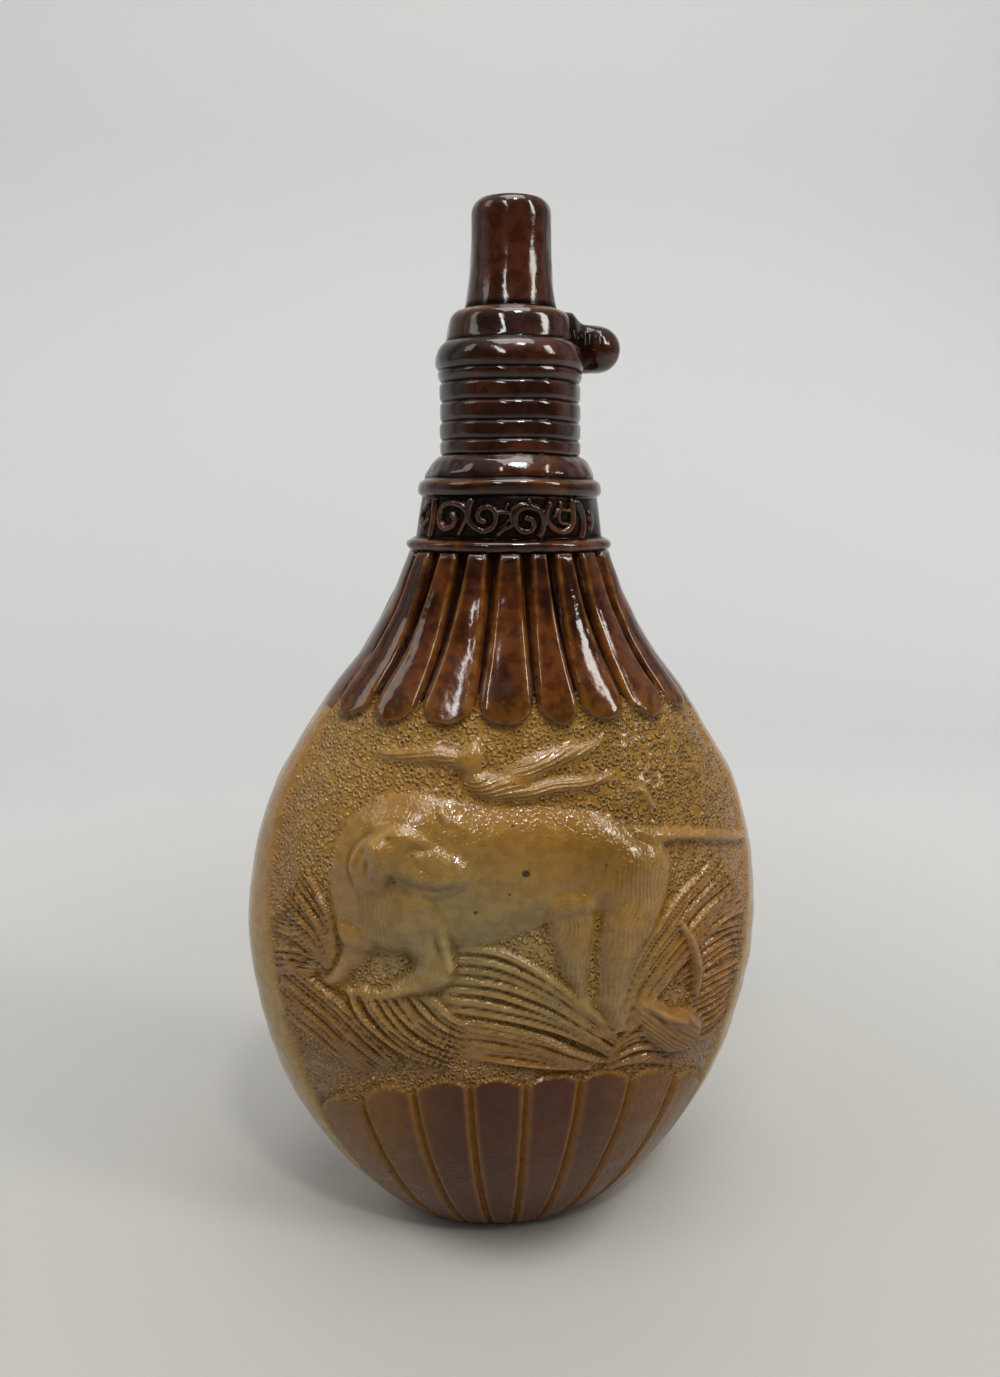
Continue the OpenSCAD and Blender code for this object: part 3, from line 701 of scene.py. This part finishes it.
def columns():
    """Angles of the body's columns, close on the front and wider apart behind."""
    front, back, side = 224, 80, math.radians(80)
    tight = 0.2
    t = np.linspace(-1, 1, front)
    a = side * (t - tight * np.sin(math.pi * t) / math.pi)
    b = np.linspace(side, 2 * math.pi - side, back + 2)[1:-1]
    return np.concatenate([a, b])


def row_heights():
    """Heights of the body's rows, closest over the field and the tips of the petals."""
    foot_z, field_z, tips_z, petals_z = 7, 44, 116, 126
    foot = foot_z * np.linspace(0, 1, 15)[:-1] ** 2
    flutes = np.linspace(foot_z, field_z, 38)[:-1]
    field = np.linspace(field_z, tips_z, 138)[:-1]
    tips = np.linspace(tips_z, petals_z, 19)[:-1]
    petals = np.linspace(petals_z, BODY_H, 24)
    return np.concatenate([foot, flutes, field, tips, petals])


def add_body(m, a):
    """The body, from the foot to the throat."""
    z = row_heights()
    angle, height = np.meshgrid(a, z)
    shape = angle.shape
    seen = np.cos(angle) > 0
    out, cover = body_skin(angle.ravel(), height.ravel(), seen.ravel(), shape)
    out = out.reshape(shape) * smooth((height - 0.2) / 2.5)
    cover = {c: v.reshape(shape) for c, v in cover.items()}
    # How far each place lies below what is around it; the glaze paints shade into the hollows and a
    # highlight onto raised edges from it
    cover["cavity"] = hollowness(out, 5)
    for k, h in enumerate(z):
        x, y = oval(half_w(h), half_d(h), a, out[k])
        m.ring(x, y, h, {c: v[k] for c, v in cover.items()})


def add_band(m, a, rows):
    """The bead ring and the band of scrolls."""
    grid_a, grid_z = np.meshgrid(a, [r[0] for r in rows])
    band = scroll_relief((grid_a * THROAT_W / 2).ravel(), grid_z.ravel()).reshape(grid_a.shape)
    in_band = smooth((grid_z - Z_SCROLL - 0.1) / 0.5) * smooth((Z_ROLL - grid_z) / 0.5)
    band *= in_band
    # Hollows of the band, which the glaze turns into painted shade; the sunk ground between the scrolls
    # counts as a hollow throughout
    hollow = 1.6 * hollowness(band, 2) + 0.25 * in_band * (1 - smooth((band - 0.1) / 0.5))
    for k, ((h, w), (_, softer)) in enumerate(zip(rows, soften(rows, 0.6))):
        cavity = hollow[k] + (1.5 * (softer - w) + 0.12 * (1 - in_band[k, 0]))
        x, y = oval(w, w * share_of_round(h), a, band[k] + 0.12 * wobble(12, 12, a * 20, h))
        m.ring(x, y, h, {"dark": 1.0, "cavity": cavity})


def add_neck(m, rows):
    """The rings, the collar and the spout, which waver a little and swell unevenly."""
    b = around(112)
    cx, cy = np.cos(b), np.sin(b)
    for (h, w), (_, softer) in zip(rows, soften(rows, 0.55)):
        shake = 0.13 * wobble(17, 14, cx * 15, cy * 15, h * 0.4)
        rough = 0.07 * wobble(14, 7, cx * 15, cy * 15, h) + 0.12 * wobble(15, 22, cx * 15, cy * 15, h)
        if Z_FLARE < h < Z_BARREL:
            rough = rough + 0.16 * wobble(16, 2.6, cx * 17, cy * 17, h)
        fade = smooth((HEIGHT - h) / 2)
        x, y = oval(w, w * share_of_round(h), b, rough * fade)
        # The grooves between the rings count as hollows, which the glaze darkens with painted shade
        m.ring(x, y, h + shake * fade, {"dark": 1.0, "cavity": 3.2 * (softer - w)})


def add_inside(m):
    """The mouth, the passage behind it and the hollow inside."""
    c = around(48)
    z_mouth = HEIGHT - MOUTH_L
    z_neck = z_mouth - (PASSAGE_R - MOUTH_R)
    # Inside the mouth counts as a hollow, which the glaze paints near black as shade
    inside = {"dark": 1.0, "cavity": 0.3}
    for r, h in ((MOUTH_R + 0.5, HEIGHT), (MOUTH_R, HEIGHT - 0.5), (MOUTH_R, z_mouth),
                 (PASSAGE_R, z_neck), (PASSAGE_R, Z_BARREL)):
        m.ring(*oval(r, r, c, 0), h, inside)
    for t in np.linspace(1, 0, 14):
        h = mix(FLOOR_T, BODY_H, t**1.3)
        m.ring(*oval(half_w(h), half_d(h), c, -WALL), h, inside)
    m.close()


def add_lug(m):
    """The thumb lug, with a fillet at its root and a shallow dish with a ridge in its front."""
    e = around(36)
    tip = LUG_TIP / 2
    run = LUG_REACH - tip
    droop = math.radians(LUG_DROOP)
    start, fillet_r, fillet_at, fillet_run = 9, 1.9, 12.2, 3.0
    dish_at, ridge_at = 15, 17.6
    rings = []
    for far in np.linspace(start, run, 16):
        fillet = fillet_r * (1 - min(max((far - fillet_at) / fillet_run, 0), 1)) ** 2
        rings.append((far, mix(LUG_ROOT / 2, tip, far / run) + fillet, fillet))
    rings += [(run + tip * math.sin(g), tip * math.cos(g), 0) for g in np.linspace(0.16, 1.5, 9)]
    facing = np.exp(-(((np.cos(e) + 1) / 0.4) ** 2))
    for far, r, fillet in rings:
        rough = 0.16 * wobble(20, 6, np.cos(e) * r, np.sin(e) * r, far)
        rough = rough + 0.07 * wobble(21, 1.9, np.cos(e) * 3 * r, np.sin(e) * 3 * r, far * 0.5)
        ridge = 0.45 * math.exp(-(((far - ridge_at) / 0.7) ** 2))
        dish = facing * (1.2 * math.exp(-(((far - dish_at) / 1.6) ** 2)) - ridge)
        rough = rough - dish
        side, high = (r + rough) * np.cos(e), (r + rough) * np.sin(e)
        x = far * math.cos(droop) + high * math.sin(droop)
        up = Z_COLLAR - 0.2 - far * math.sin(droop) + high * math.cos(droop)
        # The crease of the fillet and the dish count as hollows, which the glaze darkens with painted shade
        cavity = 0.2 * fillet - 0.1 * rough + 0.2 * np.maximum(dish, 0)
        m.ring(x, side, up, {"dark": 1.0, "cavity": cavity})
    m.close()


def flask_mesh():
    m = Mesh()
    a = columns()
    outline = soften(neck_outline(), 0.22)
    add_body(m, a)
    add_band(m, a, [r for r in outline if r[0] <= Z_ROLL - 0.1])
    add_neck(m, [r for r in outline if r[0] > Z_ROLL - 0.1])
    add_inside(m)
    add_lug(m)
    return m


# Materials


class Nodes:
    """Short calls for the nodes of a material or a world."""

    def __init__(self, owner):
        owner.use_nodes = True
        self.owner, self.tree = owner, owner.node_tree
        self.tree.nodes.clear()

    def new(self, kind, values, **settings):
        node = self.tree.nodes.new(kind)
        for key, value in settings.items():
            setattr(node, key, value)
        for key, value in values.items():
            if isinstance(value, bpy.types.NodeSocket):
                self.tree.links.new(value, node.inputs[key])
            else:
                node.inputs[key].default_value = value
        return node

    def place(self, kind):
        return self.new("ShaderNodeTexCoord", {}).outputs[kind]

    def axis(self, where, index):
        return self.new("ShaderNodeSeparateXYZ", {0: where}).outputs[index]

    def length(self, where):
        return self.new("ShaderNodeVectorMath", {0: where}, operation="LENGTH").outputs[1]

    def cover(self, name):
        return self.new("ShaderNodeAttribute", {}, attribute_name=name).outputs["Fac"]

    def math(self, how, a, b=0.0):
        return self.new("ShaderNodeMath", {0: a, 1: b}, operation=how).outputs[0]

    def vector(self, how, a, b):
        return self.new("ShaderNodeVectorMath", {0: a, 1: b}, operation=how).outputs[0]

    def plus(self, a, b):
        return self.math("ADD", a, b)

    def times(self, a, b):
        return self.math("MULTIPLY", a, b)

    def most(self, a, b):
        return self.math("MAXIMUM", a, b)

    def rest(self, a):
        return self.math("SUBTRACT", 1.0, a)

    def ramp(self, value, low, high, to_low=0.0, to_high=1.0):
        values = {"Value": value, "From Min": low, "From Max": high, "To Min": to_low, "To Max": to_high}
        return self.new("ShaderNodeMapRange", values, interpolation_type="SMOOTHSTEP").outputs[0]

    def near(self, where, centre, size):
        """1 at a place of the front and 0 beyond size, all in millimetres."""
        gap = self.vector("SUBTRACT", where, [c * MM for c in centre])
        length = self.length(self.vector("MULTIPLY", gap, [1 / (s * MM) for s in size]))
        return self.ramp(length, 0.15, 1.0, 1.0, 0.0)

    def blend(self, colour, tone, part, share=1.0, how="MIX"):
        """The colour where part is 0, and where it is 1 a share of the tone laid over it."""
        if share != 1.0:
            part = self.times(part, share)
        values = {0: part, 6: colour, 7: tone}
        return self.new("ShaderNodeMix", values, data_type="RGBA", blend_type=how).outputs[2]

    def noise(self, where, scale, detail):
        values = {"Vector": where, "Scale": scale, "Detail": detail}
        return self.new("ShaderNodeTexNoise", values).outputs[0]

    def cells(self, where, scale):
        return self.new("ShaderNodeTexVoronoi", {"Vector": where, "Scale": scale}).outputs[0]

    def bump(self, height, deep, strength, under):
        """A bump as deep as told in millimetres, over another one if there is one."""
        values = {"Height": height, "Strength": strength, "Distance": deep * MM}
        if under is not None:
            values["Normal"] = under
        return self.new("ShaderNodeBump", values).outputs[0]

    def surface(self, values):
        """Ends a material with a principled surface, and gives it."""
        shader = self.new("ShaderNodeBsdfPrincipled", values).outputs[0]
        self.new("ShaderNodeOutputMaterial", {"Surface": shader})
        return self.owner


def rgb(r, g, b):
    """Linear colour from the 0 to 255 values of a display."""
    values = (((c / 255 + 0.055) / 1.055) ** 2.4 if c > 10 else c / 255 / 12.92 for c in (r, g, b))
    return (*values, 1.0)


def glaze():
    """Tan salt glaze over the body, and a dark glaze over the petals, the neck and the lug."""
    n = Nodes(bpy.data.materials.new("salt_glaze"))
    where = n.place("Object")
    z = n.axis(where, 2)
    dark, ground, cavity = n.cover("dark"), n.cover("ground"), n.cover("cavity")
    flute, channel, strip = n.cover("flute"), n.cover("channel"), n.cover("strip")
    comb, combed = n.cover("comb"), n.cover("combed")
    cloud, patch, fine = n.noise(where, 28, 3), n.noise(where, 75, 4), n.noise(where, 420, 3)
    deep, edge = n.ramp(cavity, 0.02, 0.34), n.ramp(cavity, -0.12, -0.5)
    bare = n.rest(dark)

    # Tan body: ochre, grey olive over the middle, orange brown to the right and below
    tan = n.blend(rgb(145, 104, 42), rgb(156, 117, 52), n.ramp(cloud, 0.35, 0.65))
    olive = n.most(n.near(where, (-14, -31, 78), (36, 30, 28)),
                   n.times(n.near(where, (8, -31, 66), (32, 30, 18)), 0.8))
    tan = n.blend(tan, rgb(134, 115, 70), olive, 0.9)
    tan = n.blend(tan, rgb(104, 76, 20), n.near(where, (17, -31, 93), (16, 30, 12)), 0.6)
    rust = n.most(n.near(where, (47, -18, 62), (30, 34, 40)),
                  n.times(n.near(where, (-42, -18, 54), (18, 30, 14)), 0.7))
    tan = n.blend(tan, rgb(144, 92, 30), rust, 0.7)
    tan = n.blend(tan, rgb(112, 74, 22), n.ramp(z, 0.062, 0.047), 0.7)
    stain = n.blend(rgb(205, 198, 186), rgb(255, 255, 255), patch)
    tan = n.blend(tan, stain, 0.6, how="MULTIPLY")
    # Painted shade in the hollows, and a painted highlight on raised edges
    tan = n.blend(tan, rgb(78, 54, 20), deep, 0.42)
    tan = n.blend(tan, rgb(182, 146, 92), edge, 0.25)

    # Flutes: plum brown between ochre channels, and paler strips at the sides of the body
    plum = n.blend(rgb(64, 28, 10), rgb(80, 42, 16), n.ramp(cloud, 0.3, 0.7))
    panel = n.blend(plum, rgb(108, 68, 12), n.ramp(channel, 0.15, 0.8))
    side = n.ramp(n.math("ABSOLUTE", n.axis(where, 0)), 0.011, 0.036)
    panel = n.blend(panel, rgb(116, 78, 24), side, 0.8)
    body = n.blend(tan, panel, flute)
    strip_tone = n.blend(rgb(148, 104, 38), rgb(148, 116, 44), n.ramp(z, 0.11, 0.05))
    body = n.blend(body, strip_tone, n.times(strip, bare))

    # Dark glaze: reddish brown, amber where it ran thin, near black in hollows, partly gathered glaze and
    # partly painted shade
    stem = n.ramp(z, 0.135, 0.185)
    brown = n.blend(n.blend(rgb(50, 22, 9), rgb(42, 19, 9), stem),
                    n.blend(rgb(90, 46, 15), rgb(70, 33, 15), stem), n.ramp(patch, 0.42, 0.62))
    thin = n.ramp(n.noise(where, 130, 3), 0.35, 0.6)
    rim = n.times(n.times(channel, dark), n.plus(0.35, n.times(thin, 0.55)))
    brown = n.blend(brown, rgb(120, 76, 24), rim)
    brown = n.blend(brown, rgb(122, 78, 24), n.times(edge, n.plus(0.3, n.times(thin, 0.5))))
    # Near black in hollows: gathered glaze, deepened with painted shade
    brown = n.blend(brown, rgb(23, 11, 5), deep)
    skirt = n.times(n.ramp(z, 0.13, 0.117), n.rest(deep))
    brown = n.blend(brown, rgb(112, 70, 18), skirt, 0.6)
    ragged = n.plus(dark, n.times(n.math("SUBTRACT", patch, 0.5), 0.5))
    dark_now = n.ramp(ragged, 0.42, 0.6)
    colour = n.blend(body, brown, dark_now)

    # Lines of fur, feathers and grass, with painted shade in the grooves between the strands
    swirl = n.times(n.noise(where, 150, 3), 7.0)
    strands = n.math("SINE", n.plus(n.times(comb, 2 * math.pi / FUR_PITCH), swirl))
    line = n.times(n.ramp(strands, 0.2, -0.9), combed)
    colour = n.blend(colour, rgb(160, 136, 100), line, 0.28, "MULTIPLY")

    # Iron specks: small ones by chance, and the largest ones of the front
    speck = n.times(n.ramp(n.cells(where, 210), 0.1, 0.05), n.ramp(n.noise(where, 60, 1), 0.5, 0.6))
    for centre, size in (((-0.8, -32.5, 91.6), 1.5), ((-10.6, -33, 84), 1.3),
                         ((-4, -33, 87.6), 0.6), ((-26.6, -32, 93.3), 0.8)):
        blot = n.near(where, centre, (size, 3, size * 0.8))
        speck = n.most(speck, n.ramp(n.plus(blot, n.times(fine, 0.5)), 0.62, 0.75))
    colour = n.blend(colour, rgb(30, 22, 16), speck, 0.85)
    mottle = n.times(n.ramp(fine, 0.42, 0.6), n.plus(0.3, n.times(dark, 0.5)))
    colour = n.blend(colour, rgb(186, 166, 148), mottle, how="MULTIPLY")

    # Pebbled ground: painted shade in the hollow middles of the pebbles, and a painted highlight on their
    # raised rings
    rings = n.cells(where, 700)
    middle = n.times(n.ramp(rings, 0.34, 0.12), ground)
    colour = n.blend(colour, rgb(176, 156, 126), middle, 0.75, "MULTIPLY")
    raised = n.math("SUBTRACT", n.ramp(rings, 0.1, 0.4), n.ramp(rings, 0.42, 0.62))
    colour = n.blend(colour, rgb(184, 142, 76), n.times(raised, ground), 0.3)
    upper = n.near(where, (26, -24, 108), (34, 40, 26))
    pit = n.ramp(n.cells(where, 980), 0.42, 0.15, 0.0, -0.6)
    grain = n.plus(n.times(raised, n.plus(0.8, upper)), pit)
    grain = n.times(grain, n.plus(n.times(bare, 0.1), n.times(ground, 0.9)))

    # Pebbles, strands, the glaze's swim and peel, and its pits
    strand = n.times(n.ramp(strands, -1, 1), combed)
    pits = n.times(n.times(n.ramp(n.cells(where, 520), 0.2, 0.12), bare), n.ramp(patch, 0.5, 0.6))
    normal = None
    for height, deep_mm, strength in (
        (grain, 0.52, 1.0),
        (strand, 0.22, 1.0),
        (n.noise(where, 210, 2), 0.34, 0.5),
        (n.noise(where, 900, 2), 0.1, 0.25),
        (pits, -0.1, 0.6),
    ):
        normal = n.bump(height, deep_mm, strength, normal)

    # Hollows and flutes shine less
    shine = n.rest(n.most(n.times(deep, 0.85), n.times(flute, 0.45)))
    rough = n.blend(n.ramp(patch, 0.3, 0.7, 0.09, 0.18), n.ramp(patch, 0.3, 0.7, 0.07, 0.14), dark_now)
    return n.surface({
        "Base Color": colour,
        "Roughness": rough,
        "Normal": normal,
        "IOR": 1.5,
        "Specular IOR Level": n.times(shine, 0.5),
        "Coat Weight": n.times(shine, 0.15),
        "Coat Roughness": 0.07,
    })


# Stage, lights and camera


def paper():
    """Pale paper with painted shade: a painted shadow close round the flask, fading out over the paper
    round it, and painted shade towards its near end, so that its far end is lightest.
    """
    n = Nodes(bpy.data.materials.new("paper"))
    where = n.place("Object")
    length = n.length(where)
    # Painted shadow at the flask's foot, fading out over the paper round it
    colour = n.blend(rgb(104, 99, 92), rgb(170, 167, 162), n.ramp(length, 0.013, 0.03))
    colour = n.blend(colour, rgb(194, 194, 193), n.ramp(length, 0.03, 0.4))
    colour = n.blend(colour, rgb(211, 212, 212), n.ramp(length, 0.5, 1.1))
    # Painted shade towards the near end of the paper
    colour = n.blend(colour, rgb(112, 108, 103), n.ramp(n.axis(where, 1), -0.07, -0.4))
    return n.surface({"Base Color": colour, "Roughness": 0.6, "Specular IOR Level": 0.3})


def sheet():
    """The paper under the flask, which bends up to a backdrop behind it."""
    mesh = bpy.data.meshes.new("floor")
    wide, front, back, tall, bend = 3.0, -1.6, 0.9, 2.4, 0.5
    flat_end = back - bend
    profile = [(front, 0.0), (0.0, 0.0), (flat_end, 0.0)]
    for g in np.linspace(0.1, math.pi / 2, 14):
        profile.append((flat_end + bend * math.sin(g), bend * (1 - math.cos(g))))
    profile.append((back, tall))
    points = [(side * wide, y, z) for y, z in profile for side in (-1, 1)]
    faces = [(2 * i, 2 * i + 1, 2 * i + 3, 2 * i + 2) for i in range(len(profile) - 1)]
    mesh.from_pydata(points, [], faces)
    mesh.shade_smooth()
    mesh.materials.append(paper())
    add("floor", mesh)


def room():
    """Light from all round: bright overhead and behind, dim on the dark side in front."""
    n = Nodes(bpy.data.worlds.new("room"))
    way = n.place("Generated")
    overhead = n.ramp(n.axis(way, 2), 0.3, 0.95, 0.0, 0.5)
    behind = n.ramp(n.axis(way, 1), -0.45, 0.25, 0.06, 0.42)
    values = {"Color": (0.95, 0.97, 1.0, 1), "Strength": n.most(overhead, behind)}
    n.new("ShaderNodeOutputWorld", {"Surface": n.new("ShaderNodeBackground", values).outputs[0]})
    bpy.context.scene.world = n.owner


def lamp(name, across, tall, watts, colour, place, turn):
    data = bpy.data.lights.new(name, "AREA")
    data.shape = "RECTANGLE"
    data.size, data.size_y, data.energy, data.color = across, tall, watts, colour
    obj = add(name, data)
    obj.location, obj.rotation_euler = place, turn


def lamps():
    aim = Vector((0, 0, 0.15))
    # name, turn from the front in degrees, height in degrees, distance, width, height, watts, colour
    for name, turn, lift, away, across, tall, watts, colour in (
        ("overhead", 10, 76, 1.9, 1.2, 1.2, 22.5, (1, 1, 1)),
        ("window_right", 57, 32, 1.6, 0.26, 0.8, 8.5, (1, 0.98, 0.9)),
        ("small_lamp", 12, 54, 1.6, 0.16, 0.16, 6.5, (1, 1, 0.97)),
        ("window_left", -80, 36, 1.6, 0.4, 0.7, 2.0, (1, 0.98, 0.9)),
    ):
        t, e = math.radians(turn), math.radians(lift)
        place = aim + away * Vector((math.sin(t) * math.cos(e), -math.cos(t) * math.cos(e), math.sin(e)))
        lamp(name, across, tall, watts, colour, place, (aim - place).to_track_quat("-Z", "Y").to_euler())
    # A long lamp under the ceiling, from over the flask to behind the camera
    lamp("ceiling_lamp", 0.15, 1.6, 13.0, (1, 0.99, 0.97), (-0.66, -1.75, 1.3), (0, 0, math.radians(-8)))


def camera():
    """The camera of the photograph, worked out from the flask's outline in it."""
    turn, away, eye = math.radians(-8), 219.8 * MM, 164.9 * MM
    tilt, roll = math.radians(11.13), math.radians(0.25)
    focal_px, long_side_px, axis_off_px, sensor_mm = 1034, 1377, 8.5, 36
    yaw = math.atan(axis_off_px / focal_px)
    up = Vector((0, 0, 1))
    front = Vector((-math.sin(turn), math.cos(turn), 0))
    side = Vector((math.cos(turn), math.sin(turn), 0))
    ahead = front * math.cos(yaw) - side * math.sin(yaw)
    right = side * math.cos(yaw) + front * math.sin(yaw)
    look = ahead * math.cos(tilt) - up * math.sin(tilt)
    over = up * math.cos(tilt) + ahead * math.sin(tilt)
    x = right * math.cos(roll) + over * math.sin(roll)
    y = over * math.cos(roll) - right * math.sin(roll)
    place = Matrix((x, y, -look)).transposed().to_4x4()
    place.translation = Vector((math.sin(turn) * away, -math.cos(turn) * away, eye))
    data = bpy.data.cameras.new("camera")
    data.sensor_width = sensor_mm
    data.lens = sensor_mm * focal_px / long_side_px
    data.clip_start = 0.01
    obj = add("camera", data)
    obj.matrix_world = place
    bpy.context.scene.camera = obj


camera()
sheet()
room()
lamps()
bpy.context.scene.view_settings.view_transform = "Standard"

flask = flask_mesh().build("glazed_flask", glaze())
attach(flask, "root")
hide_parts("flask")
